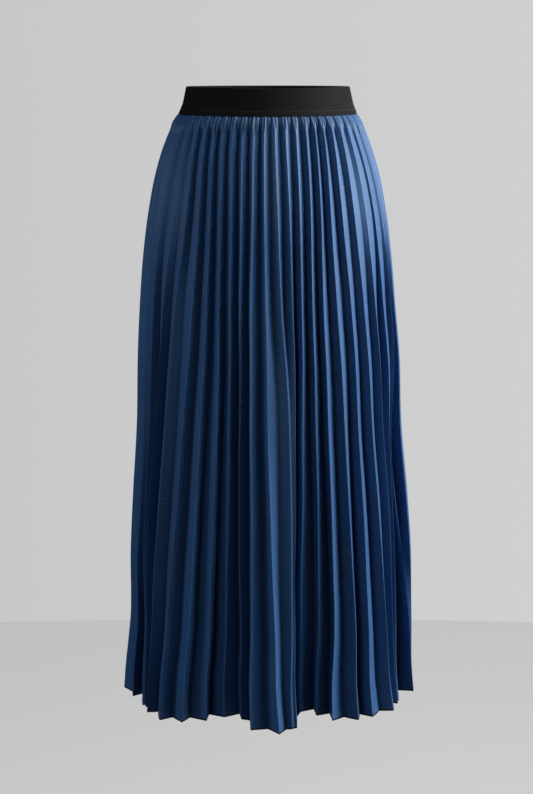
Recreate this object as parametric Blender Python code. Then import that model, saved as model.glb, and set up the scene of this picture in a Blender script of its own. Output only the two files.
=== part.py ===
"""A pleated midi skirt: an elastic waistband, and a front and a back panel in narrow pleats that widen
to the hem, in the hollow form that they have when worn. The origin is the middle of the waistband,
where the wearer holds the skirt. The front faces -Y.
"""

from collections import namedtuple

import bmesh
import bpy
import numpy as np

# ---- driving dimensions, in metres ----
BAND_HEIGHT = 0.0365
BAND_THICKNESS = 0.0016
BAND_SEGMENTS = 64
SKIRT_LENGTH = 0.7915  # from the middle of the waistband to the hem
FRONT_DIP = 0.0015  # how much lower the waistband sits at the centre front
WALL = 0.0011  # the pleated cloth
WALL_REACH = 0.0085  # the most that the wall reaches inwards where a pleat is nearly shut
SEAM_GAP = 0.0003
SEAM_PROUD = 0.0012  # how far the gathered top edge stands out from the waistband's lower edge

# ---- pleats ----
FACE_AT_WAIST = 0.0100  # width of each face of a pleat
FACE_AT_HEM = 0.0250
SHALLOWEST = 0.35  # the least depth of a pleat, as a share of its face
PINCHED = 0.30  # the share of its depth that a pleat keeps where it is sewn to the waistband
PINCH_LENGTH = 0.05  # and the share of the length below which it has its whole depth
BACK_FOLDS = 26
BACK_SWAY = 1.1  # how far, in degrees, the back pleats wander from even spacing
BACK_WAVE = 0.009  # and how far the soft waves of the back hem stand in and out
WAVES_FROM = 0.22  # the waves grow from this share of the length down to the hem

# The body that the skirt hangs round, a row for each height. depth is to the front and to the back,
# and square is 2 for an ellipse and more for a squarer outline.
Section = namedtuple("Section", "z half_width centre_x front_depth back_depth square")
SECTIONS = (
    Section(-0.0185, 0.1172, 0.0015, 0.0930, 0.0960, 2.00),
    Section(-0.0280, 0.1240, 0.0013, 0.0990, 0.1040, 2.00),
    Section(-0.0440, 0.1306, 0.0013, 0.1040, 0.1110, 2.00),
    Section(-0.0600, 0.1366, 0.0010, 0.1080, 0.1160, 2.02),
    Section(-0.0910, 0.1460, 0.0010, 0.1140, 0.1230, 2.05),
    Section(-0.1380, 0.1554, 0.0010, 0.1210, 0.1310, 2.10),
    Section(-0.2020, 0.1637, 0.0010, 0.1260, 0.1360, 2.15),
    Section(-0.2650, 0.1687, 0.0013, 0.1300, 0.1390, 2.20),
    Section(-0.3300, 0.1732, 0.0027, 0.1330, 0.1400, 2.25),
    Section(-0.4250, 0.1758, 0.0033, 0.1370, 0.1430, 2.35),
    Section(-0.5230, 0.1832, 0.0047, 0.1410, 0.1470, 2.45),
    Section(-0.5880, 0.1871, 0.0054, 0.1440, 0.1500, 2.50),
    Section(-0.6870, 0.1885, 0.0060, 0.1490, 0.1540, 2.60),
    Section(-0.7530, 0.1924, 0.0030, 0.1530, 0.1580, 2.65),
    Section(-0.8000, 0.1960, 0.0035, 0.1560, 0.1620, 2.70),
)

# The waistband's outer face.
BAND_SECTIONS = (
    Section(-0.01825, 0.1172, 0.0015, 0.0930, 0.0960, 2.00),
    Section(-0.0125, 0.1153, 0.0018, 0.0918, 0.0942, 2.00),
    Section(-0.0060, 0.1125, 0.0019, 0.0903, 0.0921, 2.00),
    Section(0.0040, 0.1100, 0.0019, 0.0886, 0.0904, 2.00),
    Section(0.01825, 0.1070, 0.0018, 0.0868, 0.0882, 2.00),
)

# The front pleats from the left seam to the right seam. The first seven columns are where a ridge
# runs, in degrees round from the centre front, at these shares of the length. out is how far the
# ridge stands out at the hem and drop how much longer it hangs there, both in millimetres. lean is
# where the hollow on its right lies between this ridge and the next: 0.5 is half way.
STATIONS = (0.0, 0.145, 0.31, 0.48, 0.65, 0.82, 1.0)
Fold = namedtuple("Fold", "waist hip thigh knee calf shin hem out drop lean")
FRONT_FOLDS = (
    Fold(-87.0, -86.5, -87.0, -87.0, -86.5, -86.5, -86.0, 0, -3, 0.50),
    Fold(-80.5, -79.0, -80.0, -79.5, -79.0, -78.5, -78.5, 2, -4, 0.45),
    Fold(-73.8, -70.8, -72.2, -71.5, -72.5, -73.0, -71.5, 1, -7, 0.40),
    Fold(-66.5, -64.5, -65.0, -66.5, -67.5, -67.5, -64.5, 0, -11, 0.35),
    Fold(-59.8, -56.8, -57.8, -59.5, -60.8, -60.8, -57.0, 4, -8, 0.30),
    Fold(-53.0, -48.2, -49.5, -52.0, -53.5, -54.2, -52.5, 8, -2, 0.32),
    Fold(-46.2, -40.8, -41.2, -43.5, -45.2, -46.8, -46.2, 12, 4, 0.30),
    Fold(-39.5, -34.4, -33.5, -35.0, -36.5, -37.5, -37.5, 10, 4, 0.22),
    Fold(-32.5, -28.6, -27.0, -27.5, -28.5, -29.2, -28.2, 2, 2, 0.22),
    Fold(-25.3, -22.2, -21.2, -21.2, -21.8, -22.2, -21.0, -8, -1, 0.70),
    Fold(-18.0, -15.8, -15.5, -15.8, -15.8, -15.2, -13.0, -4, 0, 0.76),
    Fold(-10.2, -9.2, -9.8, -10.0, -10.0, -10.0, -8.6, 16, 9, 0.62),
    Fold(-2.5, -1.8, -1.0, -1.0, 0.2, 1.6, 4.6, 22, 13, 0.46),
    Fold(5.2, 6.0, 8.0, 9.2, 10.2, 10.3, 10.6, 18, 8, 0.30),
    Fold(12.8, 13.3, 13.9, 13.8, 13.2, 12.6, 12.9, 14, 7, 0.28),
    Fold(20.4, 19.6, 19.0, 18.5, 17.8, 16.6, 15.8, -12, -6, 0.78),
    Fold(27.8, 26.0, 25.0, 24.5, 24.2, 23.2, 22.2, -8, -3, 0.80),
    Fold(34.6, 31.8, 31.0, 30.8, 30.6, 29.8, 28.6, 2, 2, 0.68),
    Fold(41.0, 37.6, 38.0, 38.5, 38.8, 39.0, 39.2, 4, 3, 0.66),
    Fold(47.4, 44.2, 45.5, 45.8, 45.4, 44.8, 45.0, 4, 1, 0.68),
    Fold(54.2, 51.6, 53.0, 53.2, 53.2, 53.8, 55.8, 2, -1, 0.72),
    Fold(60.2, 59.6, 60.4, 60.4, 59.6, 61.2, 62.0, -4, -8, 0.70),
    Fold(66.2, 66.6, 67.0, 66.8, 66.2, 68.6, 78.5, -1, -6, 0.60),
    Fold(72.8, 73.6, 74.0, 74.2, 74.4, 76.6, 85.5, -2, -2, 0.55),
    Fold(79.4, 80.4, 80.8, 81.4, 82.2, 84.2, 91.0, -2, 0, 0.50),
    Fold(86.0, 87.0, 87.4, 88.2, 89.4, 91.4, 96.5, 0, 1, 0.50),
)

# Heights of the rows of points down a pleat, as shares of its length.
ROWS = (
    0.0, 0.012, 0.030, 0.055, 0.090, 0.130, 0.180, 0.240, 0.305, 0.375,
    0.445, 0.515, 0.585, 0.655, 0.725, 0.795, 0.865, 0.935, 1.0,
)  # fmt: skip

# ---- colours and finishes ----
SATIN_BLUE = (0.060, 0.120, 0.240, 1.0)
ELASTIC_BLACK = (0.010, 0.010, 0.012, 1.0)

COLLECTION = "pleated_midi_skirt"


def clear_scene():
    for thing in list(bpy.data.objects):
        bpy.data.objects.remove(thing, do_unlink=True)


def make_collection():
    group = bpy.data.collections.new(COLLECTION)
    bpy.context.scene.collection.children.link(group)
    return group


def make_material(name, colour, roughness):
    material = bpy.data.materials.new(name)
    material.use_nodes = True
    shader = material.node_tree.nodes["Principled BSDF"]
    shader.inputs["Base Color"].default_value = colour
    shader.inputs["Roughness"].default_value = roughness
    shader.inputs["Metallic"].default_value = 0.0
    material.diffuse_color = colour
    return material


def smooth(stops, values, at):
    """The value at one place on a smooth curve through the values at the stops."""
    slopes = np.gradient(values, stops)
    k = int(np.clip(np.searchsorted(stops, at) - 1, 0, len(stops) - 2))
    width = stops[k + 1] - stops[k]
    t = np.clip((at - stops[k]) / width, 0.0, 1.0)
    start = (1 + 2 * t) * (1 - t) ** 2 * values[k] + t * (1 - t) ** 2 * width * slopes[k]
    end = t * t * (3 - 2 * t) * values[k + 1] + t * t * (t - 1) * width * slopes[k + 1]
    return float(start + end)


def section_at(z, table):
    """The table's row at a height, between its own rows."""
    rows = sorted(table)
    heights = [row.z for row in rows]
    return Section(*(smooth(heights, [row[k] for row in rows], z) for k in range(len(rows[0]))))


def on_outline(turn, row):
    """The point of a section's outline that lies turn radians round from the centre front."""
    across, along = np.sin(turn), np.cos(turn)
    depth = row.front_depth if along >= 0 else row.back_depth
    spread = abs(across / row.half_width) ** row.square + abs(along / depth) ** row.square
    reach = spread ** (-1 / row.square)
    return np.array([row.centre_x + reach * across, -reach * along])


def outward(turn, row):
    """The direction straight out of a section's outline at that turn."""
    step = 0.01
    run = on_outline(turn + step, row) - on_outline(turn - step, row)
    run /= np.linalg.norm(run)
    return np.array([run[1], -run[0]])


def dip(turn):
    """How much lower the waistband and the seam below it sit at that turn."""
    return FRONT_DIP * max(0.0, float(np.cos(turn))) ** 2


def ramp(at, start, end):
    """0 before the start, 1 after the end, and a soft slope between."""
    t = float(np.clip((at - start) / (end - start), 0.0, 1.0))
    return t * t * (3 - 2 * t)


def back_folds():
    """The back pleats, from the right seam round to the left seam, evenly spread with a soft sway."""
    first, last = FRONT_FOLDS[-1], FRONT_FOLDS[0]
    folds = []
    for k in range(BACK_FOLDS):
        share = (k + 1) / (BACK_FOLDS + 1)
        sway = BACK_SWAY * np.sin(2.9 * k + 0.6) + 0.5 * BACK_SWAY * np.sin(1.3 * k)
        turns = []
        for column, station in enumerate(STATIONS):
            start, end = first[column], last[column] + 360
            drift = sway * np.sin(np.pi * share) * (0.3 + 0.7 * station)
            turns.append(start + (end - start) * share + drift)
        wave = np.sin(np.pi * share) ** 0.5 * np.sin(1.05 * k + 0.8)
        out = 1000 * BACK_WAVE * wave
        folds.append(Fold(*turns, out, 0.3 * out, 0.5 + 0.18 * np.sin(1.05 * k + 2.2)))
    return folds


def place(turn, out, z):
    """A point that far out from the body's outline, and the direction straight out there."""
    row = section_at(z, SECTIONS)
    away = outward(turn, row)
    flat = on_outline(turn, row) + out * away
    return np.array([flat[0], flat[1], z]), np.array([away[0], away[1], 0.0])


def ridge_at(fold, share):
    """The turn, the stand-out and the height of a pleat's ridge at a share of its length."""
    turn = np.radians(smooth(STATIONS, fold[: len(STATIONS)], share))
    top = -BAND_HEIGHT / 2 - SEAM_GAP - dip(turn)
    hem = -SKIRT_LENGTH - fold.drop / 1000
    out = fold.out / 1000 * ramp(share, WAVES_FROM, 1.35) / ramp(1.0, WAVES_FROM, 1.35)
    return turn, SEAM_PROUD * (1 - ramp(share, 0.0, 0.03)) + out, top + share * (hem - top)


def hollow_at(left, right, share, lean):
    """The same for the hollow between two ridges. Both faces of a pleat keep the width of the cloth."""
    turn_a, out_a, z_a = ridge_at(left, share)
    turn_b, out_b, z_b = ridge_at(right, share)
    ridge_a, _ = place(turn_a, out_a, z_a)
    ridge_b, _ = place(turn_b, out_b, z_b)
    face = FACE_AT_WAIST + (FACE_AT_HEM - FACE_AT_WAIST) * share
    half_gap = np.linalg.norm(ridge_a - ridge_b) / 2
    depth = np.sqrt(max(face**2 - half_gap**2, (SHALLOWEST * face) ** 2))
    depth *= PINCHED + (1 - PINCHED) * ramp(share, 0.0, PINCH_LENGTH)
    at = 0.5 + (lean - 0.5) * ramp(share, 0.0, 0.4)
    turn = turn_a + at * (turn_b - turn_a)
    return turn, (out_a + out_b) / 2 - depth, (z_a + z_b) / 2


def turned(fold, degrees):
    """The same fold counted that many degrees further round."""
    count = len(STATIONS)
    return Fold(*(turn + degrees for turn in fold[:count]), *fold[count:])


def pleated_row(folds, before, after, share):
    """The outer points of one row from seam to seam: hollow, ridge, hollow, ridge, and so on.

    before and after are the pleats next to the seams in the other panel. The seams lie in the
    hollows at the two ends, which keep half of the seam's gap to the seam's line.
    """
    chain = [before, *folds, after]
    points = []
    for k, fold in enumerate(chain[:-1]):
        if k > 0:
            points.append(place(*ridge_at(fold, share)))
        points.append(place(*hollow_at(fold, chain[k + 1], share, fold.lean)))
    for end, towards in ((0, 1), (-1, -1)):
        point, away = points[end]
        along = towards * np.array([-away[1], away[0], 0.0])
        points[end] = (point + SEAM_GAP / 2 * along, away)
    return points


def inner_row(row):
    """The points of a row moved inwards, so that the faces of the pleats are WALL thick."""
    outer = np.array([point for point, _ in row])
    away = np.array([direction for _, direction in row])
    runs = np.diff(outer, axis=0)
    runs[:, 2] = 0.0
    runs /= np.linalg.norm(runs, axis=1)[:, None]
    inner = []
    for k, (point, direction) in enumerate(zip(outer, away)):
        beside = runs[max(k - 1, 0) : k + 1]
        slant = min(abs(np.cross(run, direction)[2]) for run in beside)
        inner.append(point - min(WALL / slant, WALL_REACH) * direction)
    return outer, np.array(inner)


def walled_mesh(name, rows, closed):
    """A wall between the outer and the inner points of each row, from the top row down.

    A closed wall runs on from the end of each row to its start, and an open one has end faces.
    """
    mesh = bmesh.new()
    outer = [[mesh.verts.new(point) for point in row[0]] for row in rows]
    inner = [[mesh.verts.new(point) for point in row[1]] for row in rows]
    if closed:
        for line in outer + inner:
            line.append(line[0])

    def strip(upper, lower):
        for k in range(len(upper) - 1):
            mesh.faces.new((upper[k], lower[k], lower[k + 1]))
            mesh.faces.new((upper[k], lower[k + 1], upper[k + 1]))

    for k in range(len(rows) - 1):
        strip(outer[k], outer[k + 1])
        strip(inner[k + 1], inner[k])
    strip(inner[0], outer[0])
    strip(outer[-1], inner[-1])
    if not closed:
        strip([line[0] for line in inner], [line[0] for line in outer])
        strip([line[-1] for line in outer], [line[-1] for line in inner])
    bmesh.ops.recalc_face_normals(mesh, faces=mesh.faces)
    data = bpy.data.meshes.new(name)
    mesh.to_mesh(data)
    mesh.free()
    return data


def make_panel(name, folds, before, after, material, group):
    rows = [inner_row(pleated_row(folds, before, after, share)) for share in ROWS]
    panel = bpy.data.objects.new(name, walled_mesh(name, rows, closed=False))
    panel.data.materials.append(material)
    group.objects.link(panel)
    return panel


def make_waistband(material, group):
    """A ring through the band's sections, as thick as the elastic."""
    turns = np.linspace(0, 2 * np.pi, BAND_SEGMENTS, endpoint=False)
    rows = []
    for row in sorted(BAND_SECTIONS, reverse=True):
        outer, inner = [], []
        for turn in turns:
            flat = on_outline(turn, row)
            z = row.z - dip(turn)
            outer.append(np.array([*flat, z]))
            inner.append(np.array([*(flat - BAND_THICKNESS * outward(turn, row)), z]))
        rows.append((outer, inner))
    band = bpy.data.objects.new("waistband", walled_mesh("waistband", rows, closed=True))
    band.data.materials.append(material)
    group.objects.link(band)
    return band


def main():
    clear_scene()
    group = make_collection()
    satin = make_material("blue_satin", SATIN_BLUE, 0.45)
    elastic = make_material("black_elastic", ELASTIC_BLACK, 0.75)
    front = list(FRONT_FOLDS)
    back = back_folds()
    make_waistband(elastic, group)
    make_panel("skirt_front", front, turned(back[-1], -360), back[0], satin, group)
    make_panel("skirt_back", back, front[-1], turned(front[0], 360), satin, group)


main()
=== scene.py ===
"""Looks of a pleated midi skirt: blue satin in narrow pleats that widen to the hem, on a black elastic
waistband. The skirt keeps the hollow form that it has when worn. The front faces -Y.
"""

import math
from collections import namedtuple

import bpy
import numpy as np
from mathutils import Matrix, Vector


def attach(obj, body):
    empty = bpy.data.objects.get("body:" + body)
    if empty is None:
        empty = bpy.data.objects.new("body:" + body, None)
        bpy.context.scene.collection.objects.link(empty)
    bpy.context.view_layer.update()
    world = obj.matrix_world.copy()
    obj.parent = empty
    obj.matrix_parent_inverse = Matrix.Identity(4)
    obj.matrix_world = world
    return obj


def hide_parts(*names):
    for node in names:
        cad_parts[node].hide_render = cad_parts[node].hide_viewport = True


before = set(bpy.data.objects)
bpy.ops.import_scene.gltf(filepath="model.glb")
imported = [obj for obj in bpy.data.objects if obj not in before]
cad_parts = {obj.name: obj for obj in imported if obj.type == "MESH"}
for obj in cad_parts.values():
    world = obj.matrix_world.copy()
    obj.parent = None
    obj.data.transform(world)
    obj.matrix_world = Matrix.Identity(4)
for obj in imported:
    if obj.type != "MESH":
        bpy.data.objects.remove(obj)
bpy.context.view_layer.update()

# ---- the skirt's sizes, in metres, as in its solids ----
BAND_HEIGHT = 0.0365
BAND_THICKNESS = 0.0016
SKIRT_LENGTH = 0.7915  # from the middle of the waistband to the hem
FRONT_DIP = 0.0015  # how much lower the waistband sits at the centre front
SEAM_GAP = 0.0003  # from the waistband's lower edge down to where the pleats start
FACE_AT_WAIST = 0.0100  # width of each face of a pleat
FACE_AT_HEM = 0.0250
SHALLOWEST = 0.35  # the least depth of a pleat, as a share of its face
BACK_FOLDS = 26
BACK_SWAY = 1.1  # how far, in degrees, the back pleats wander from even spacing
BACK_WAVE = 0.009  # how far the soft waves of the back hem stand in and out
BACK_DROP = 0.3  # how much longer the back hangs where it stands out, as a share of that
BACK_LEAN = 0.18  # how far the back's hollows lie from half way between two ridges
WAVES_FROM = 0.22  # the waves grow from this share of the length down to the hem
WAVES_TO = 1.35  # and are still growing there, as they would end at this share

# ---- where the cloth is finer than its solids; shares are of the pleats' length ----
SEAM_PROUD = 0.0008  # how far the gathered top edge stands out from the waistband's lower edge
SEAM_SHARE = 0.03  # and the share in which that fades
PINCHED = 0.45  # the share of its depth that a pleat keeps where it is sewn to the waistband
PINCH_SHARE = 0.03  # and the share below which it has its whole depth
MIDDLE = 0.60  # the share at which a ridge can be drawn in
MIDDLE_REACH = 0.30  # and how far above and below that goes on
PRESSED_UNTIL = (0.15, 0.38)  # a hollow that is pressed at the hips opens between these shares
SHUT_FROM = (0.22, 0.50)  # and one that is shut closes between these
FLATTEST = 0.95  # the most of a pleat's depth that either can take away
BACK_PRESSED = 0.1  # how far the back's hollows are pressed at the hips

Section = namedtuple("Section", "z half_width centre_x front_depth back_depth square")
SECTIONS = (
    Section(-0.0185, 0.1172, 0.0015, 0.0930, 0.0960, 2.00),
    Section(-0.0280, 0.1240, 0.0013, 0.0990, 0.1040, 2.00),
    Section(-0.0440, 0.1306, 0.0013, 0.1040, 0.1110, 2.00),
    Section(-0.0600, 0.1366, 0.0010, 0.1080, 0.1160, 2.02),
    Section(-0.0910, 0.1460, 0.0010, 0.1140, 0.1230, 2.05),
    Section(-0.1380, 0.1554, 0.0010, 0.1210, 0.1310, 2.10),
    Section(-0.2020, 0.1637, 0.0010, 0.1260, 0.1360, 2.15),
    Section(-0.2650, 0.1687, 0.0013, 0.1300, 0.1390, 2.20),
    Section(-0.3300, 0.1732, 0.0027, 0.1330, 0.1400, 2.25),
    Section(-0.4250, 0.1758, 0.0033, 0.1370, 0.1430, 2.35),
    Section(-0.5230, 0.1832, 0.0047, 0.1410, 0.1470, 2.45),
    Section(-0.5880, 0.1871, 0.0054, 0.1440, 0.1500, 2.50),
    Section(-0.6870, 0.1885, 0.0060, 0.1490, 0.1540, 2.60),
    Section(-0.7530, 0.1924, 0.0030, 0.1530, 0.1580, 2.65),
    Section(-0.8000, 0.1960, 0.0035, 0.1560, 0.1620, 2.70),
)
BAND_SECTIONS = (
    Section(-0.01825, 0.1172, 0.0015, 0.0930, 0.0960, 2.00),
    Section(-0.0125, 0.1153, 0.0018, 0.0918, 0.0942, 2.00),
    Section(-0.0060, 0.1125, 0.0019, 0.0903, 0.0921, 2.00),
    Section(0.0040, 0.1100, 0.0019, 0.0886, 0.0904, 2.00),
    Section(0.01825, 0.1070, 0.0018, 0.0868, 0.0882, 2.00),
)

# The front pleats from the left seam to the right seam: where each ridge runs, in degrees round from
# the centre front, at these shares of the length, then how far it stands out at the hem, how far it
# stands out at MIDDLE (below 0 is drawn in) and how much longer it hangs, in millimetres, then how far
# the hollow on its right is pressed at the hips and shut below them (1 is flat), and where that hollow
# lies at the same shares of the length (0 is at this ridge, 1 at the next one).
STATIONS = (0.0, 0.145, 0.31, 0.48, 0.65, 0.82, 1.0)
Fold = namedtuple("Fold", "waist hip thigh knee calf shin hem out middle drop pressed shut hollows")
HALF_WAY = (0.50,) * len(STATIONS)
FRONT_FOLDS = (
    Fold(-87.0, -86.5, -87.0, -87.5, -88.5, -91.0, -96.0, 0, 0, -6, 0.4, 0, HALF_WAY),
    Fold(-80.5, -79.0, -80.0, -80.5, -81.0, -82.5, -84.0, 0, 0, -9, 0.4, 0.5, HALF_WAY),
    Fold(-73.8, -70.8, -72.2, -72.0, -71.0, -73.5, -71.5, -8, 0, -7, 0.4, 0,
         (0.50, 0.50, 0.50, 0.50, 0.20, -0.80, -1.00)),
    Fold(-66.5, -64.5, -65.0, -65.5, -67.0, -67.0, -63.0, -12, 0, -1, 0.35, 0,
         (0.30, 0.25, 0.15, 0.10, 0.10, 0.20, 0.30)),
    Fold(-59.8, -56.8, -57.8, -59.5, -60.5, -59.5, -54.5, 4, 0, -7, 0.15, 0,
         (0.40, 0.45, 0.30, 0.10, 0.00, 0.00, 0.10)),
    Fold(-53.0, -48.2, -50.5, -53.0, -54.0, -55.0, -52.5, 8, 0, -2, 0, 0,
         (0.35, 0.30, 0.40, 0.45, 0.40, 0.35, 0.10)),
    Fold(-46.2, -40.8, -41.2, -43.5, -45.2, -46.8, -46.2, 12, 0, 4, 0, 0,
         (0.50, 0.35, 0.35, 0.35, 0.35, 0.35, 0.25)),
    Fold(-39.5, -34.4, -33.5, -35.0, -36.5, -37.5, -37.5, 10, 0, 4, 0, 0,
         (0.45, 0.40, 0.35, 0.30, 0.20, 0.15, 0.10)),
    Fold(-32.5, -28.6, -27.0, -27.5, -28.5, -29.2, -28.2, 2, 0, 2, 0, 0,
         (0.45, 0.50, 0.45, 0.40, 0.30, 0.10, -0.10)),
    Fold(-25.3, -22.2, -21.2, -21.2, -21.8, -22.2, -21.0, -8, 0, -1, 0, 0,
         (0.55, 0.60, 0.70, 0.75, 0.75, 0.75, 0.80)),
    Fold(-18.0, -15.8, -15.5, -15.8, -15.8, -15.2, -13.0, -4, 0, 0, 0, 0,
         (0.55, 0.65, 0.75, 0.80, 0.80, 0.80, 0.85)),
    Fold(-10.2, -9.2, -9.8, -10.0, -10.0, -10.0, -8.6, 16, 0, 9, 0, 0,
         (0.60, 0.65, 0.65, 0.65, 0.65, 0.60, 0.60)),
    Fold(-2.5, -1.8, -1.0, -1.0, 0.2, 1.6, 4.6, 22, 0, 13, 0.15, 0.5,
         (0.50, 0.50, 0.50, 0.50, 0.45, 0.40, 0.60)),
    Fold(5.2, 6.0, 8.0, 10.5, 10.5, 10.0, 10.5, 14, 0, 8, 0.1, 0.95,
         (0.50, 0.55, 0.35, 0.30, 0.40, 0.50, 0.50)),
    Fold(12.8, 13.3, 13.9, 14.0, 13.0, 11.5, 13.0, 13, 0, 7, 0.1, 0,
         (0.55, 0.55, 0.40, 0.25, 0.20, 0.20, 0.30)),
    Fold(20.4, 19.6, 19.0, 18.0, 17.0, 15.0, 15.0, -17, 0, -6, 0, 0,
         (0.55, 0.60, 0.65, 0.75, 0.85, 0.95, 1.00)),
    Fold(27.8, 26.0, 25.0, 24.5, 24.2, 23.2, 22.2, -8, 0, -3, 0, 0,
         (0.55, 0.65, 0.70, 0.80, 0.90, 1.05, 1.10)),
    Fold(34.6, 31.8, 31.0, 30.8, 30.6, 29.8, 28.6, 2, 0, 2, 0, 0,
         (0.45, 0.65, 0.65, 0.65, 0.60, 0.60, 0.60)),
    Fold(41.0, 37.6, 38.0, 38.5, 38.8, 39.0, 39.2, 4, 0, 3, 0, 0,
         (0.50, 0.75, 0.75, 0.75, 0.60, 0.60, 0.65)),
    Fold(47.4, 44.2, 45.5, 45.8, 45.4, 44.8, 45.0, 4, 0, 1, 0.1, 0,
         (0.55, 0.75, 0.70, 0.70, 0.70, 0.65, 0.65)),
    Fold(54.2, 51.6, 53.0, 53.2, 53.2, 53.8, 55.8, 2, 0, -1, 0.4, 0,
         (0.75, 0.70, 0.80, 0.75, 0.80, 0.85, 0.90)),
    Fold(60.2, 59.6, 60.4, 61.5, 62.0, 62.0, 66.0, -13, 0, -1, 0.65, 0,
         (0.85, 0.90, 0.95, 0.90, 0.80, 0.70, 0.60)),
    Fold(66.2, 66.6, 67.0, 68.0, 66.5, 68.0, 73.0, -18, 0, 1, 0.7, 0.3,
         (0.85, 0.90, 0.95, 1.00, 1.30, 1.80, 1.80)),
    Fold(72.8, 73.6, 75.0, 77.0, 72.5, 72.5, 80.0, 0, -12, -7, 0.7, 0.3,
         (0.80, 0.80, 1.00, 1.80, 1.60, 0.80, 0.70)),
    Fold(79.4, 80.4, 80.8, 79.5, 78.0, 81.0, 88.0, 0, 0, -4, 0.6, 0, HALF_WAY),
    Fold(86.0, 87.0, 87.4, 88.2, 89.0, 91.0, 97.0, 1, 0, -1, 0, 0, HALF_WAY),
)

# ---- how fine the cloth is, and its small forms ----
FACE_STEPS = (0.0, 0.04, 0.14, 0.32, 0.5, 0.68, 0.86, 0.96)  # columns of points across each face
ROW_STEPS = ((0.0, 0.04, 24), (0.04, 0.985, 76), (0.985, 1.0, 8))  # rows: from, to, how many
CLOTH = 0.00045  # the satin's thickness
TUCKED = 0.0026  # how far the cloth runs up behind the waistband
TUCKED_IN = 0.0022  # and how far behind its outer face
TUCK_STEPS = (1.0, 0.5)  # the rows of points there, as shares of the way up
TUCK_DEPTH = 0.35  # the share of their depth that the pleats have at the bottom of it
GATHERS = 3  # fine gathers in each pleat at the waistband
GATHER_SPREAD = 0.6  # and by how much their number can differ
GATHER_DEPTH = 0.0012
GATHER_LENGTH = 0.026
GATHER_LENGTHS = (0.6, 1.25)  # the shortest and the longest, beside that
GATHER_WHOLE = 0.25  # the share of its length that a gather runs before it fades
BOW_AT_WAIST = 0.0001  # how far the faces of the pleats bow
BOW_AT_HEM = 0.0004
BOW_PARTS = 4  # the parts of the length that each have their own bow
WANDER = 0.22  # how far, in degrees, a ridge wanders from its line
WANDER_PARTS = 6
WANDER_FROM = (0.02, 0.15)  # the shares of the length in which that grows
HEM_TURNED_UP = 0.0050
HEM_ROLL = 0.0005
# the turned-up hem's rows of points: how far each lies behind the cloth's edge, and how far above it
HEM_STEPS = (
    (1.0 * HEM_ROLL, -0.7 * HEM_ROLL),
    (2.0 * HEM_ROLL, 0.0),
    (2.2 * HEM_ROLL, 0.5 * HEM_TURNED_UP),
    (2.2 * HEM_ROLL, 1.0 * HEM_TURNED_UP),
)

# ---- the band's small forms ----
BAND_LENGTH = 0.640  # round the stretched band
BAND_SEGMENTS = 288
BAND_ROWS = 40  # rows of points on its outer face
BAND_INNER_ROWS = 12  # and on its inner face
BAND_EDGE = 0.0007  # radius of its rounded outer edges
BAND_INNER_EDGE = 0.0004  # how much is cut off its inner edges
SEAM_UP = 0.0070  # the stitches that hold the skirt, above the band's lower edge
SEAM_PULL = 0.00025  # how far they pull the elastic in
SEAM_PULL_REACH = 0.0012  # and how far above and below them

# ---- stitches ----
Stitch = namedtuple("Stitch", "length gap thread")
HEM_STITCH = Stitch(0.0021, 0.0007, 0.00042)
HEM_STITCH_UP = 0.0040  # above the hem's edge
HEM_STITCH_OUT = 0.3 * HEM_STITCH.thread  # its middle, out from the cloth
BAND_STITCH = Stitch(0.0028, 0.0009, 0.00038)
BAND_STITCH_IN = 0.0002  # its middle, in from the band's face
STITCH_SIDES = 6
STITCH_AHEAD = 0.0002  # how far ahead its direction is read
# shares of a stitch's length, its thickness there as a share of the thread's, and its lift in half threads
STITCH_SHAPE = ((0.0, 0.25, -0.9), (0.18, 0.9, 0.0), (0.5, 1.0, 0.25), (0.82, 0.9, 0.0), (1.0, 0.25, -0.9))

# ---- textures: about how many lumps go in a metre along each axis, detail, roughness ----
Texture = namedtuple("Texture", "scale detail roughness")
DRIFT = Texture((7.0, 7.0, 2.0), 3.0, 0.55)
STREAKS = Texture((900.0, 45.0, 1.0), 3.0, 0.60)
GRAIN = Texture((520.0, 300.0, 1.0), 2.0, 0.65)
FLOATS = Texture((2600.0, 420.0, 1.0), 2.0, 0.50)
CRINKLE = Texture((130.0, 34.0, 1.0), 3.0, 0.55)
STRANDS = Texture((2500.0, 2500.0, 2500.0), 2.0, 0.50)
ELASTIC_GRAIN = Texture((900.0, 1600.0, 1.0), 3.0, 0.60)
FLOOR_CLOUDS = Texture((1.5, 1.5, 1.5), 2.0, 0.50)
# the values that a texture's colour or roughness changes between
DRIFT_SPAN = (0.3, 0.7)
STREAK_SPAN = (0.25, 0.75)
ELASTIC_SPAN = (0.3, 0.75)
# the elastic's ribs lie 1.4 mm apart, and the rows that cross them 1.1 mm
Wave = namedtuple("Wave", "direction scale distortion detail_scale")
RIBS = Wave("Y", 1 / 0.0045, 0.4, 30.0)
CROSS_ROWS = Wave("X", 1 / 0.0035, 0.6, 60.0)
# relief: how strongly a texture shows as bumps, and their depth
FLOAT_RELIEF = (0.35, 0.00012)
CRINKLE_RELIEF = (0.5, 0.0005)
STRAND_RELIEF = (0.4, 0.0001)
ELASTIC_RELIEF = (0.5, 0.00025)

# ---- colours, all linear ----
SATIN_BLUE = (0.028, 0.088, 0.230)
SATIN_TONES = ((0.0145, 0.0540, 0.160, 1.0), (0.0190, 0.0650, 0.187, 1.0))
# painted shade, laid into the hollows, on the hem's folded edge and between the gathers
SATIN_PAINTED_SHADE = (0.004, 0.012, 0.034, 1.0)
# painted highlight, laid on the pressed edges and on the gathers
SATIN_PAINTED_HIGHLIGHT = (0.060, 0.150, 0.310, 1.0)
SATIN_TINT = (0.72, 0.88, 1.0, 1.0)
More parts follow.
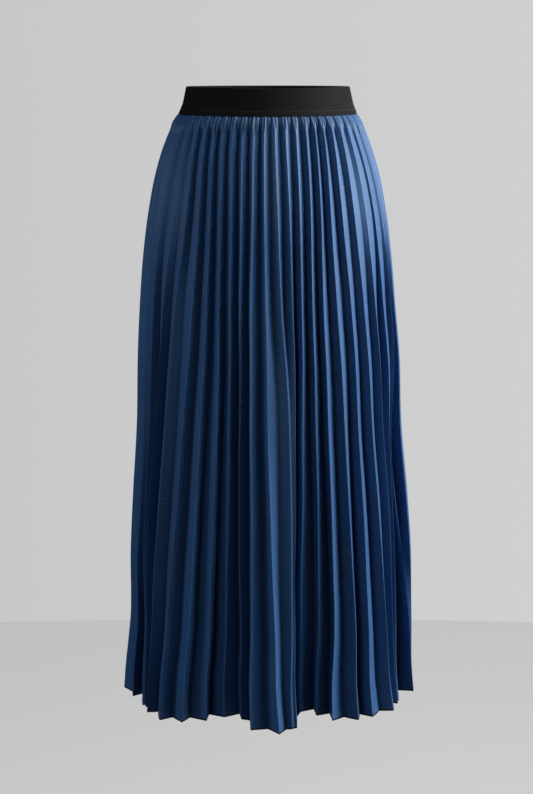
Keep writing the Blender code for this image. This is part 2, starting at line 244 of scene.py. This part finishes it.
# Laid over the satin's tones in this order: what each colour follows, from which value to which, and how
# much of it shows at the one and at the other. The streaks and the grain are the cloth's own; the rest are
# painted shade and painted highlights.
SATIN_LAYERS = (
    ("streaks", 0.30, 0.70, 0.0, 0.22, (0.037, 0.092, 0.220, 1.0)),
    ("grain", 0.38, 0.68, 0.0, 0.80, (0.046, 0.130, 0.310, 1.0)),
    ("inward", 0.65, 1.00, 0.0, 0.40, SATIN_PAINTED_SHADE),  # painted shade in the hollows
    ("inward", 0.00, 0.08, 0.60, 0.0, SATIN_PAINTED_HIGHLIGHT),  # painted highlight on the pressed edges
    ("above_hem", 0.0016, 0.0032, 0.90, 0.0, SATIN_PAINTED_SHADE),  # painted shade on the folded edge of the hem
    ("gathered", -0.60, -0.02, 0.95, 0.0, SATIN_PAINTED_SHADE),  # painted shade between the gathers
    ("gathered", 0.30, 0.90, 0.0, 0.85, SATIN_PAINTED_HIGHLIGHT),  # painted highlight on the gathers
)
THREAD_BLUE = (0.105, 0.190, 0.340)
THREAD_BLACK = (0.020, 0.020, 0.022)
ELASTIC_BLACK = (0.006, 0.006, 0.0065)
ELASTIC_TONES = ((0.0040, 0.0040, 0.0046, 1.0), (0.0085, 0.0085, 0.0093, 1.0))
FLOOR_GREY = (0.12, 0.12, 0.12)
FLOOR_TONES = ((0.115, 0.115, 0.117, 1.0), (0.125, 0.125, 0.125, 1.0))

# ---- how the surfaces take the light ----
SATIN_ROUGHNESS = 0.42  # for a viewer that leaves the streaks out
SATIN_ROUGHNESSES = (0.46, 0.62)  # from the smoothest streak to the roughest
SATIN_GLOSS = 0.44
SATIN_ANISOTROPY = 0.6
THREAD_ROUGHNESS = 0.5
THREAD_SHEEN = 0.15
ELASTIC_ROUGHNESS = 0.8
ELASTIC_GLOSS = 0.12
FLOOR_ROUGHNESS = 0.8

# ---- the photograph's view ----
PICTURE_HEIGHT = 794  # pixels
CAMERA_DISTANCE = 3.30
CAMERA_HEIGHT = 0.05825
CAMERA_TILT = 7.769  # degrees below level
FOCAL_PIXELS = 2503.6
SENSOR = 36.0  # millimetres
FLOOR_LEVEL = -1.15
FLOOR_RADIUS = 6.0
FLOOR_SIDES = 256
FLOOR_BEHIND = 2.0  # how far behind the skirt the floor meets the wall
FLOOR_GLOW = 0.45  # how light the floor looks beside what the lamps give it
WALL_ON_LEFT = (0.575, 0.577, 0.585)
WALL_ON_RIGHT = (0.630, 0.632, 0.638)
WALL_REACH = 0.12  # how far to each side the wall's tone changes, for each metre away
AROUND_COLOUR = (0.90, 0.95, 1.00)
AROUND_STRENGTH = 0.014
# name, degrees round from the camera towards +X, height, distance, size, watts, colour, the height that
# it is aimed at, spread in degrees
LIGHTS = (
    ("key", 85, 0.45, 2.10, (0.9, 1.0), 86, (1.0, 0.98, 0.95), -0.28, 180),
    ("high", 66, 1.60, 1.30, (0.6, 0.6), 3.6, (1.0, 0.98, 0.96), -0.10, 60),
    ("fill", -74, 0.50, 2.60, (0.8, 1.0), 17, (0.76, 0.90, 1.0), -0.35, 180),
    ("front", -28, 0.30, 2.60, (1.0, 1.0), 7.5, (0.80, 0.92, 1.0), -0.55, 180),
    ("behind", 165, 1.00, 2.80, (1.6, 1.6), 26, (0.95, 0.97, 1.0), -0.35, 180),
)

random = np.random.default_rng(7)  # the front's cloth draws first, then the back's


# ---------------------------------------------------------------- form


def smooth(stops, values, at):
    """Smooth curves through the values at the stops, read at one or many places."""
    stops, values, at = np.asarray(stops), np.asarray(values), np.asarray(at, float)
    slopes = np.gradient(values, stops)
    k = np.clip(np.searchsorted(stops, at) - 1, 0, len(stops) - 2)
    width = stops[k + 1] - stops[k]
    t = np.clip((at - stops[k]) / width, 0.0, 1.0)
    start = (1 + 2 * t) * (1 - t) ** 2 * values[k] + t * (1 - t) ** 2 * width * slopes[k]
    end = t * t * (3 - 2 * t) * values[k + 1] + t * t * (t - 1) * width * slopes[k + 1]
    return start + end


def section_at(z, table):
    """The body's section at one or many heights."""
    rows = sorted(table)
    heights = [row.z for row in rows]
    return Section(*(smooth(heights, [row[k] for row in rows], z) for k in range(len(rows[0]))))


def on_outline(turn, row):
    """Points of the body's outline, turn radians round from the centre front."""
    across, along = np.sin(turn), np.cos(turn)
    depth = np.where(along >= 0, row.front_depth, row.back_depth)
    spread = np.abs(across / row.half_width) ** row.square + np.abs(along / depth) ** row.square
    reach = spread ** (-1 / row.square)
    return np.stack([row.centre_x + reach * across, -reach * along], axis=-1)


def outward(turn, row):
    """The level direction straight out from the outline."""
    step = 0.01
    run = on_outline(turn + step, row) - on_outline(turn - step, row)
    run /= np.linalg.norm(run, axis=-1, keepdims=True)
    return np.stack([run[..., 1], -run[..., 0]], axis=-1)


def dip(turn):
    """How much lower the waistband sits there."""
    return FRONT_DIP * np.maximum(0.0, np.cos(turn)) ** 2


def ramp(at, start, end):
    """A soft rise from 0 at the start to 1 at the end."""
    t = np.clip((np.asarray(at, float) - start) / (end - start), 0.0, 1.0)
    return t * t * (3 - 2 * t)


def place(turn, out, z):
    """Points that far out from the body's outline."""
    row = section_at(z, SECTIONS)
    flat = on_outline(turn, row) + np.asarray(out)[..., None] * outward(turn, row)
    return np.concatenate([flat, np.asarray(z)[..., None]], axis=-1)


def back_folds():
    """The back pleats from the right seam round to the left one, unevenly spaced, with soft waves."""
    first, last = FRONT_FOLDS[-1], FRONT_FOLDS[0]
    folds = []
    for k in range(BACK_FOLDS):
        share = (k + 1) / (BACK_FOLDS + 1)
        # sines out of step with the pleats and with each other, so that no two pleats are the same
        sway = BACK_SWAY * np.sin(2.9 * k + 0.6) + 0.5 * BACK_SWAY * np.sin(1.3 * k)
        turns = []
        for column, station in enumerate(STATIONS):
            start, end = first[column], last[column] + 360
            drift = sway * np.sin(np.pi * share) * (0.3 + 0.7 * station)
            turns.append(start + (end - start) * share + drift)
        wave = np.sin(np.pi * share) ** 0.5 * np.sin(1.05 * k + 0.8)
        out = 1000 * BACK_WAVE * wave
        lean = BACK_LEAN * np.sin(1.05 * k + 2.2)
        hollows = [0.5 + lean * min(1.0, station / 0.3) for station in STATIONS]
        folds.append(Fold(*turns, out, 0, BACK_DROP * out, BACK_PRESSED, 0, hollows))
    return folds


def turned(fold, degrees):
    """The same pleat, further round the body."""
    count = len(STATIONS)
    return Fold(*(turn + degrees for turn in fold[:count]), *fold[count:])


def ridge_at(fold, share):
    """The turn, the stand-out and the height of a pleat's ridge at shares of its length."""
    turn = np.radians(smooth(STATIONS, fold[: len(STATIONS)], share))
    top = -BAND_HEIGHT / 2 - SEAM_GAP - dip(turn)
    hem = -SKIRT_LENGTH - fold.drop / 1000
    out = fold.out / 1000 * ramp(share, WAVES_FROM, WAVES_TO) / ramp(1.0, WAVES_FROM, WAVES_TO)
    out = out + fold.middle / 1000 * (1 - ramp(np.abs(share - MIDDLE), 0.0, MIDDLE_REACH))
    return turn, SEAM_PROUD * (1 - ramp(share, 0.0, SEAM_SHARE)) + out, top + share * (hem - top)


def face_width(share):
    """The width of a pleat's face at shares of its length."""
    return FACE_AT_WAIST + (FACE_AT_HEM - FACE_AT_WAIST) * share


def hollow_at(left, right, share):
    """The turn, the stand-out and the height of the hollow between two ridges.

    It is as deep as the width of the faces on both sides of it allows, unless it is pressed or shut.
    """
    turn_a, out_a, z_a = ridge_at(left, share)
    turn_b, out_b, z_b = ridge_at(right, share)
    face = face_width(share)
    half_gap = np.linalg.norm(place(turn_a, out_a, z_a) - place(turn_b, out_b, z_b), axis=-1) / 2
    depth = np.sqrt(np.maximum(face**2 - half_gap**2, (SHALLOWEST * face) ** 2))
    depth = depth * (PINCHED + (1 - PINCHED) * ramp(share, 0.0, PINCH_SHARE))
    flat = left.pressed * (1 - ramp(share, *PRESSED_UNTIL)) + left.shut * ramp(share, *SHUT_FROM)
    depth = depth * (1 - np.minimum(flat, FLATTEST))
    at = smooth(STATIONS, left.hollows, share)
    return turn_a + at * (turn_b - turn_a), (out_a + out_b) / 2 - depth, (z_a + z_b) / 2


# ---------------------------------------------------------------- meshes


def sheet_mesh(name, points, across, ring=False, tube=False):
    """A sheet through a grid of points (rows, columns, 3), with the cloth's own metres as its UVs.

    A ring joins its last column to its first, and a tube its last row to its first as well.
    """
    rows, columns = points.shape[:2]
    row, column = np.arange(rows + tube), np.arange(columns + ring)
    index = (row[:, None] % rows) * columns + column % columns
    runs = np.linalg.norm(np.diff(points[row % rows], axis=0), axis=-1).mean(axis=1)
    down = np.concatenate([[0.0], np.cumsum(runs)])
    uvs = np.stack([across, np.broadcast_to(down[:, None], across.shape)], axis=-1)
    corners = ((0, 0), (1, 0), (1, 1), (0, 1))
    last, end = len(row) - 1, len(column) - 1
    faces = np.stack([index[i : last + i, j : end + j].ravel() for i, j in corners], axis=1)
    layout = np.stack([uvs[i : last + i, j : end + j].reshape(-1, 2) for i, j in corners], axis=1)
    mesh = bpy.data.meshes.new(name)
    mesh.from_pydata(points.reshape(-1, 3).tolist(), [], faces.tolist())
    mesh.uv_layers.new(name="cloth").data.foreach_set("uv", layout.ravel())
    mesh.shade_smooth()
    return mesh


def add_object(name, mesh, material):
    thing = bpy.data.objects.new(name, mesh)
    thing.data.materials.append(material)
    bpy.context.scene.collection.objects.link(thing)
    return thing


def grid_normals(points):
    """The direction out of a grid of points."""
    down = np.gradient(points, axis=0)
    along = np.gradient(points, axis=1)
    normal = np.cross(down, along)
    return normal / np.maximum(np.linalg.norm(normal, axis=-1, keepdims=True), 1e-12)


def soft_noise(share, parts, count):
    """Smooth lines that wander between -1 and 1 down the length."""
    stops = np.arange(0, 1 + 1 / parts, 1 / parts)
    values = random.uniform(-1, 1, (count, len(stops)))
    return np.array([smooth(stops, line, share) for line in values])


def pleated_surface(folds, before, after):
    """The pleats of a panel from seam to seam. The other panel's pleats beside it are before and after.

    It gives the turns, stand-outs and heights of a grid of points, their places across the flat cloth, and
    two values for its material: how far each point lies in towards its hollow, from 0 to 1, and how far
    the gathers lift it, from -1 to 1. The material paints shade and highlights from these two values.
    """
    spans = [np.linspace(start, end, count, endpoint=False) for start, end, count in ROW_STEPS]
    shares = np.concatenate([*spans, [1.0]])
    chain = [before, *folds, after]
    wander = np.radians(WANDER) * soft_noise(shares, WANDER_PARTS, len(chain)) * ramp(shares, *WANDER_FROM)
    bows = soft_noise(shares, BOW_PARTS, 2 * len(chain))
    gathers = GATHERS + random.uniform(-GATHER_SPREAD, GATHER_SPREAD, len(chain))
    lengths = random.uniform(*GATHER_LENGTHS, len(chain)) * GATHER_LENGTH
    down = shares * (SKIRT_LENGTH - BAND_HEIGHT / 2)
    bow_depth = BOW_AT_WAIST + (BOW_AT_HEM - BOW_AT_WAIST) * shares
    hollows = [hollow_at(left, right, shares) for left, right in zip(chain, chain[1:])]
    columns, across, inward, gathered = [], [], [], []
    for k in range(1, len(chain) - 1):
        turn, out, z = ridge_at(chain[k], shares)
        ridge = (turn + wander[k], out, z)
        fade = 1 - ramp(down, GATHER_WHOLE * lengths[k], lengths[k])
        for side, start, end in ((0, hollows[k - 1], ridge), (1, ridge, hollows[k])):
            last = side == 1 and k == len(chain) - 2
            for t in (*FACE_STEPS, 1.0) if last else FACE_STEPS:
                turn, out, z = (a + t * (b - a) for a, b in zip(start, end))
                bow = bows[2 * k + side] * bow_depth * math.sin(math.pi * t)
                place_in_pleat = (side + t) / 2
                lift = math.cos(2 * math.pi * gathers[k] * place_in_pleat) * fade
                columns.append((turn, out + bow + GATHER_DEPTH * lift, z))
                across.append(2 * (k + place_in_pleat) * face_width(shares))
                inward.append(np.full_like(shares, t if side == 1 else 1 - t))
                gathered.append(lift)
    where = [np.stack([column[j] for column in columns], axis=1) for j in range(3)]
    values = {"inward": np.stack(inward, axis=1), "gathered": np.stack(gathered, axis=1)}
    return where, np.stack(across, axis=1), values


def tucked_rows(turn, out, z):
    """The cloth's top edge, running up behind the waistband."""
    rows = []
    for share in TUCK_STEPS:
        lift = z + SEAM_GAP + share * TUCKED
        inner = -TUCKED_IN + TUCK_DEPTH * (out - SEAM_PROUD) * (1 - share)
        row = section_at(SECTIONS[0].z, SECTIONS)
        flat = on_outline(turn, row) + inner[:, None] * outward(turn, row)
        rows.append(np.concatenate([flat, lift[:, None]], axis=-1))
    return np.array(rows)


def turned_up_rows(points):
    """The hem's edge, rolled in and turned up behind the cloth."""
    out = grid_normals(points)[-2]
    up = points[-3] - points[-1]
    up /= np.linalg.norm(up, axis=-1, keepdims=True)
    return np.array([points[-1] - behind * out + above * up for behind, above in HEM_STEPS])


def above_hem(points):
    """How far each of a panel's points lies above the hem's edge, along the cloth."""
    runs = np.linalg.norm(np.diff(points[::-1], axis=0), axis=-1)
    heights = np.concatenate([np.zeros((1, points.shape[1])), np.cumsum(runs, axis=0)])
    return heights[::-1]


def with_ends(grid):
    """Values for a panel's points, repeated for its tucked rows and its turned-up rows."""
    return np.pad(grid, ((len(TUCK_STEPS), len(HEM_STEPS)), (0, 0)), mode="edge")


def make_panel(name, folds, before, after, material):
    """A panel's cloth, and the grid of points of its pleats."""
    (turn, out, z), across, values = pleated_surface(folds, before, after)
    points = place(turn, out, z)
    tucked = tucked_rows(turn[0], out[0], z[0])
    whole = np.concatenate([tucked, points, turned_up_rows(points)])
    # how far above the hem's edge, for the painted shade on its folded edge
    values["above_hem"] = above_hem(points)
    mesh = sheet_mesh(name, whole, with_ends(across))
    for key, grid in values.items():
        attribute = mesh.attributes.new(key, "FLOAT", "POINT")
        attribute.data.foreach_set("value", with_ends(grid).ravel())
    panel = add_object(name, mesh, material)
    wall = panel.modifiers.new("cloth", "SOLIDIFY")
    wall.thickness = CLOTH
    wall.offset = -1.0
    return panel, points


def point_at(distance, stops, points):
    """The point of a line that lies at that distance along it."""
    return np.array([np.interp(distance, stops, points[:, j]) for j in range(3)])


def stitch_mesh(name, line, outs, stitch):
    """Short raised stitches along a line on the cloth, joined in one mesh."""
    runs = np.linalg.norm(np.diff(line, axis=0), axis=1)
    stops = np.concatenate([[0.0], np.cumsum(runs)])
    starts = np.arange(0.5 * stitch.gap, stops[-1] - stitch.length, stitch.length + stitch.gap)
    angles = np.linspace(0, 2 * math.pi, STITCH_SIDES, endpoint=False)
    points, faces = [], []
    for start in starts:
        base = len(points)
        for share, width, lift in STITCH_SHAPE:
            at = start + share * stitch.length
            centre = point_at(at, stops, line)
            ahead = point_at(at + STITCH_AHEAD, stops, line) - centre
            ahead /= np.linalg.norm(ahead)
            up = point_at(at, stops, outs)
            up -= ahead * (up @ ahead)
            up /= np.linalg.norm(up)
            side = np.cross(ahead, up)
            centre = centre + lift * stitch.thread / 2 * up
            for angle in angles:
                way = math.cos(angle) * side + math.sin(angle) * up
                points.append(centre + width * stitch.thread / 2 * way)
        far_end = base + STITCH_SIDES * (len(STITCH_SHAPE) - 1)
        for low in range(base, far_end, STITCH_SIDES):
            high = low + STITCH_SIDES
            for m in range(STITCH_SIDES):
                after = (m + 1) % STITCH_SIDES
                faces.append((low + m, low + after, high + after, high + m))
        faces.append(tuple(base + m for m in reversed(range(STITCH_SIDES))))
        faces.append(tuple(far_end + m for m in range(STITCH_SIDES)))
    mesh = bpy.data.meshes.new(name)
    mesh.from_pydata([tuple(point) for point in points], [], faces)
    mesh.shade_smooth()
    return mesh


def make_hem_stitches(name, points, material):
    """The line of stitches that holds the turned-up hem."""
    upwards, normals = points[::-1], grid_normals(points)[::-1]
    heights = above_hem(points)[::-1]
    columns = range(points.shape[1])
    line = np.array([point_at(HEM_STITCH_UP, heights[:, k], upwards[:, k]) for k in columns])
    outs = np.array([point_at(HEM_STITCH_UP, heights[:, k], normals[:, k]) for k in columns])
    mesh = stitch_mesh(name, line + HEM_STITCH_OUT * outs, outs, HEM_STITCH)
    return add_object(name, mesh, material)


def band_point(turn, z, inset):
    """Points round the waistband at one height, that far in from its outer face."""
    row = section_at(z, BAND_SECTIONS)
    flat = on_outline(turn, row) - inset * outward(turn, row)
    return np.concatenate([flat, (z - dip(turn))[:, None]], axis=-1)


def make_waistband(material):
    """The elastic ring, with soft edges and a shallow pull-in along its seam."""
    top, bottom = BAND_HEIGHT / 2, -BAND_HEIGHT / 2
    outline = []
    for angle in np.linspace(0, math.pi / 2, 5):
        outline.append((top - BAND_EDGE * (1 - math.cos(angle)), BAND_EDGE * (1 - math.sin(angle))))
    for z in np.linspace(top - 2 * BAND_EDGE, bottom + 2 * BAND_EDGE, BAND_ROWS):
        above_seam = z - bottom - SEAM_UP
        outline.append((z, SEAM_PULL * math.exp(-((above_seam / SEAM_PULL_REACH) ** 2))))
    for angle in np.linspace(0, math.pi / 2, 4):
        outline.append((bottom + BAND_EDGE * (1 - math.sin(angle)), BAND_EDGE * (1 - math.cos(angle))))
    outline.append((bottom, BAND_THICKNESS - 0.5 * BAND_INNER_EDGE))
    for z in np.linspace(bottom + BAND_INNER_EDGE, top - BAND_INNER_EDGE, BAND_INNER_ROWS):
        outline.append((z, BAND_THICKNESS))
    outline.append((top, BAND_THICKNESS - BAND_INNER_EDGE))
    turns = np.linspace(0, 2 * np.pi, BAND_SEGMENTS, endpoint=False)
    points = np.array([band_point(turns, z, inset) for z, inset in outline])
    across = np.linspace(0, BAND_LENGTH, BAND_SEGMENTS + 1)
    across = np.broadcast_to(across, (len(outline) + 1, BAND_SEGMENTS + 1))
    mesh = sheet_mesh("waistband_elastic", points, across, ring=True, tube=True)
    return add_object("waistband_elastic", mesh, material)


def make_band_stitches(material):
    """The row of stitches that sews the skirt to the waistband."""
    turns = np.linspace(0, 2 * np.pi, 4 * BAND_SEGMENTS)
    z = SEAM_UP - BAND_HEIGHT / 2
    line = band_point(turns, z, BAND_STITCH_IN)
    flat = outward(turns, section_at(z, BAND_SECTIONS))
    outs = np.concatenate([flat, np.zeros((len(turns), 1))], axis=1)
    mesh = stitch_mesh("waistband_stitches", line, outs, BAND_STITCH)
    return add_object("waistband_stitches", mesh, material)


# ---------------------------------------------------------------- materials


def connect(owner, made, inputs):
    """Link or set a node's inputs, in the node tree of a material or the world."""
    for key, value in dict(inputs).items():
        if isinstance(value, bpy.types.NodeSocket):
            owner.node_tree.links.new(value, made.inputs[key])
        else:
            made.inputs[key].default_value = value


def node(owner, kind, inputs=(), **settings):
    """A new node of that kind, with these inputs and settings."""
    made = owner.node_tree.nodes.new(kind)
    for key, value in settings.items():
        setattr(made, key, value)
    connect(owner, made, inputs)
    return made


def new_material(name, colour, roughness):
    material = bpy.data.materials.new(name)
    material.use_nodes = True
    material.diffuse_color = (*colour, 1.0)
    shader = material.node_tree.nodes["Principled BSDF"]
    connect(material, shader, {"Base Color": (*colour, 1.0), "Roughness": roughness})
    return material, shader


def noise(material, source, texture):
    """Soft lumps, with their own scale along each axis of the coordinates."""
    scaled = node(material, "ShaderNodeMapping", {"Vector": source, "Scale": texture.scale})
    inputs = {"Vector": scaled.outputs["Vector"], "Scale": 1.0}
    inputs.update({"Detail": texture.detail, "Roughness": texture.roughness})
    return node(material, "ShaderNodeTexNoise", inputs).outputs["Fac"]


def waves(material, source, wave):
    """Even rows that lie across one direction."""
    inputs = {"Vector": source, "Scale": wave.scale, "Distortion": wave.distortion}
    inputs.update({"Detail": 1.0, "Detail Scale": wave.detail_scale})
    settings = {"wave_type": "BANDS", "bands_direction": wave.direction}
    return node(material, "ShaderNodeTexWave", inputs, **settings).outputs["Fac"]


def between(owner, value, low, high, to_low, to_high):
    """A value from low to high, brought to the range from to_low to to_high."""
    inputs = {"Value": value, "From Min": low, "From Max": high, "To Min": to_low, "To Max": to_high}
    return node(owner, "ShaderNodeMapRange", inputs).outputs["Result"]


def mixed(owner, factor, first, second):
    """A colour between two colours. The node's inputs of one name are told apart by number."""
    return node(owner, "ShaderNodeMix", {0: factor, 6: first, 7: second}, data_type="RGBA").outputs[2]


def add_relief(material, shader, *layers):
    """Bumps on a surface, from layers of a height, a strength and a depth."""
    below = {}
    for height, strength, depth in layers:
        inputs = {"Height": height, "Strength": strength, "Distance": depth, **below}
        below = {"Normal": node(material, "ShaderNodeBump", inputs).outputs["Normal"]}
    connect(material, shader, below)


def satin():
    """Polyester satin: fine warp floats, a soft sheen, slightly uneven colour, painted shade and painted
    highlights.
    """
    material, shader = new_material("blue_satin", SATIN_BLUE, SATIN_ROUGHNESS)
    cloth = node(material, "ShaderNodeUVMap", uv_map="cloth").outputs["UV"]
    solid = node(material, "ShaderNodeTexCoord").outputs["Object"]
    drift = noise(material, solid, DRIFT)
    streaks = noise(material, cloth, STREAKS)
    values = {"streaks": streaks, "grain": noise(material, cloth, GRAIN)}
    for name in ("inward", "above_hem", "gathered"):
        values[name] = node(material, "ShaderNodeAttribute", attribute_name=name).outputs["Fac"]
    colour = mixed(material, between(material, drift, *DRIFT_SPAN, 0.0, 1.0), *SATIN_TONES)
    for name, low, high, at_low, at_high, laid_over in SATIN_LAYERS:
        share = between(material, values[name], low, high, at_low, at_high)
        colour = mixed(material, share, colour, laid_over)
    across = node(material, "ShaderNodeTangent", direction_type="UV_MAP", uv_map="cloth")
    inputs = {
        "Base Color": colour,
        "Roughness": between(material, streaks, *STREAK_SPAN, *SATIN_ROUGHNESSES),
        "Specular IOR Level": SATIN_GLOSS,
        "Specular Tint": SATIN_TINT,
        "Anisotropic": SATIN_ANISOTROPY,
        "Tangent": across.outputs["Tangent"],
    }
    connect(material, shader, inputs)
    floats = (noise(material, cloth, FLOATS), *FLOAT_RELIEF)
    crinkle = (noise(material, cloth, CRINKLE), *CRINKLE_RELIEF)
    add_relief(material, shader, floats, crinkle)
    return material


def thread(name, colour):
    """Twisted sewing thread."""
    material, shader = new_material(name, colour, THREAD_ROUGHNESS)
    connect(material, shader, {"Sheen Weight": THREAD_SHEEN})
    solid = node(material, "ShaderNodeTexCoord").outputs["Object"]
    add_relief(material, shader, (noise(material, solid, STRANDS), *STRAND_RELIEF))
    return material


def elastic():
    """Woven elastic: fine ribs that run along the band, crossed by the rubber's own close rows."""
    material, shader = new_material("black_elastic", ELASTIC_BLACK, ELASTIC_ROUGHNESS)
    cloth = node(material, "ShaderNodeUVMap", uv_map="cloth").outputs["UV"]
    ribs, rows = waves(material, cloth, RIBS), waves(material, cloth, CROSS_ROWS)
    grain = noise(material, cloth, ELASTIC_GRAIN)
    woven = node(material, "ShaderNodeMath", {0: ribs, 1: rows}, operation="MULTIPLY").outputs[0]
    height = node(material, "ShaderNodeMath", {0: woven, 1: grain}, operation="ADD").outputs[0]
    tone = mixed(material, between(material, grain, *ELASTIC_SPAN, 0.0, 1.0), *ELASTIC_TONES)
    connect(material, shader, {"Base Color": tone, "Specular IOR Level": ELASTIC_GLOSS})
    add_relief(material, shader, (height, *ELASTIC_RELIEF))
    return material


def plain_floor():
    """A pale floor whose glow only the camera sees, so that it throws little light into the pleats."""
    material, shader = new_material("pale_floor", FLOOR_GREY, FLOOR_ROUGHNESS)
    solid = node(material, "ShaderNodeTexCoord").outputs["Object"]
    tone = mixed(material, noise(material, solid, FLOOR_CLOUDS), *FLOOR_TONES)
    connect(material, shader, {"Base Color": tone})
    glow = node(material, "ShaderNodeEmission", {"Color": (1.0, 1.0, 1.0, 1.0), "Strength": FLOOR_GLOW})
    lit = node(material, "ShaderNodeAddShader", {0: shader.outputs[0], 1: glow.outputs[0]})
    seen = node(material, "ShaderNodeLightPath").outputs["Is Camera Ray"]
    whole = node(material, "ShaderNodeMixShader", {0: seen, 1: shader.outputs[0], 2: lit.outputs[0]})
    connect(material, material.node_tree.nodes["Material Output"], {"Surface": whole.outputs[0]})
    return material


# ---------------------------------------------------------------- stage, light and camera


def make_floor():
    bpy.ops.mesh.primitive_circle_add(
        vertices=FLOOR_SIDES,
        radius=FLOOR_RADIUS,
        fill_type="NGON",
        location=(0, FLOOR_BEHIND - FLOOR_RADIUS, FLOOR_LEVEL),
    )
    floor = bpy.context.object
    floor.name = "floor"
    floor.data.materials.append(plain_floor())


def make_world():
    """A pale studio behind the skirt, with less light from all round than the wall itself shows."""
    world = bpy.data.worlds.new("studio")
    world.use_nodes = True
    wall = world.node_tree.nodes["Background"]
    way = node(world, "ShaderNodeTexCoord").outputs["Generated"]
    rightward = node(world, "ShaderNodeSeparateXYZ", {"Vector": way}).outputs["X"]
    share = between(world, rightward, -WALL_REACH, WALL_REACH, 0.0, 1.0)
    connect(world, wall, {"Color": mixed(world, share, (*WALL_ON_LEFT, 1.0), (*WALL_ON_RIGHT, 1.0))})
    around = {"Color": (*AROUND_COLOUR, 1.0), "Strength": AROUND_STRENGTH}
    dim = node(world, "ShaderNodeBackground", around).outputs[0]
    seen = node(world, "ShaderNodeLightPath").outputs["Is Camera Ray"]
    whole = node(world, "ShaderNodeMixShader", {0: seen, 1: dim, 2: wall.outputs[0]})
    connect(world, world.node_tree.nodes["World Output"], {"Surface": whole.outputs[0]})
    bpy.context.scene.world = world


def area_light(name, azimuth, height, distance, size, power, colour, aim, spread):
    """A soft light at that azimuth round from the camera, in degrees, aimed at the skirt's axis."""
    lamp = bpy.data.lights.new(name, "AREA")
    lamp.shape = "RECTANGLE"
    lamp.size, lamp.size_y = size
    lamp.energy = power
    lamp.color = colour
    lamp.spread = math.radians(spread)
    thing = bpy.data.objects.new(name, lamp)
    turn = math.radians(azimuth)
    thing.location = (distance * math.sin(turn), -distance * math.cos(turn), height)
    direction = Vector((0.0, 0.0, aim)) - thing.location
    thing.rotation_euler = direction.to_track_quat("-Z", "Y").to_euler()
    bpy.context.scene.collection.objects.link(thing)


def make_lights():
    for light in LIGHTS:
        area_light(*light)


def make_camera():
    lens = bpy.data.cameras.new("camera")
    lens.sensor_fit = "VERTICAL"
    lens.sensor_width = lens.sensor_height = SENSOR
    lens.lens = FOCAL_PIXELS / PICTURE_HEIGHT * SENSOR
    lens.clip_start = 0.05
    lens.clip_end = 50.0
    camera = bpy.data.objects.new("camera", lens)
    camera.location = (0.0, -CAMERA_DISTANCE, CAMERA_HEIGHT)
    camera.rotation_euler = (math.radians(90 - CAMERA_TILT), 0.0, 0.0)
    bpy.context.scene.collection.objects.link(camera)
    bpy.context.scene.camera = camera


# ---------------------------------------------------------------- the skirt

front, back = FRONT_FOLDS, back_folds()
blue_satin = satin()
blue_thread = thread("blue_thread", THREAD_BLUE)
front_cloth, front_points = make_panel("front_cloth", front, turned(back[-1], -360), back[0], blue_satin)
back_cloth, back_points = make_panel("back_cloth", back, front[-1], turned(front[0], 360), blue_satin)
front_hem = make_hem_stitches("front_hem_stitches", front_points, blue_thread)
back_hem = make_hem_stitches("back_hem_stitches", back_points, blue_thread)
waistband = make_waistband(elastic())
band_stitches = make_band_stitches(thread("black_thread", THREAD_BLACK))

for piece in (front_cloth, back_cloth, front_hem, back_hem, waistband, band_stitches):
    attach(piece, "root")
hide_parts("skirt_front")
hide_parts("skirt_back")
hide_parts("waistband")

make_floor()
make_world()
make_lights()
make_camera()
bpy.context.scene.view_settings.view_transform = "Standard"
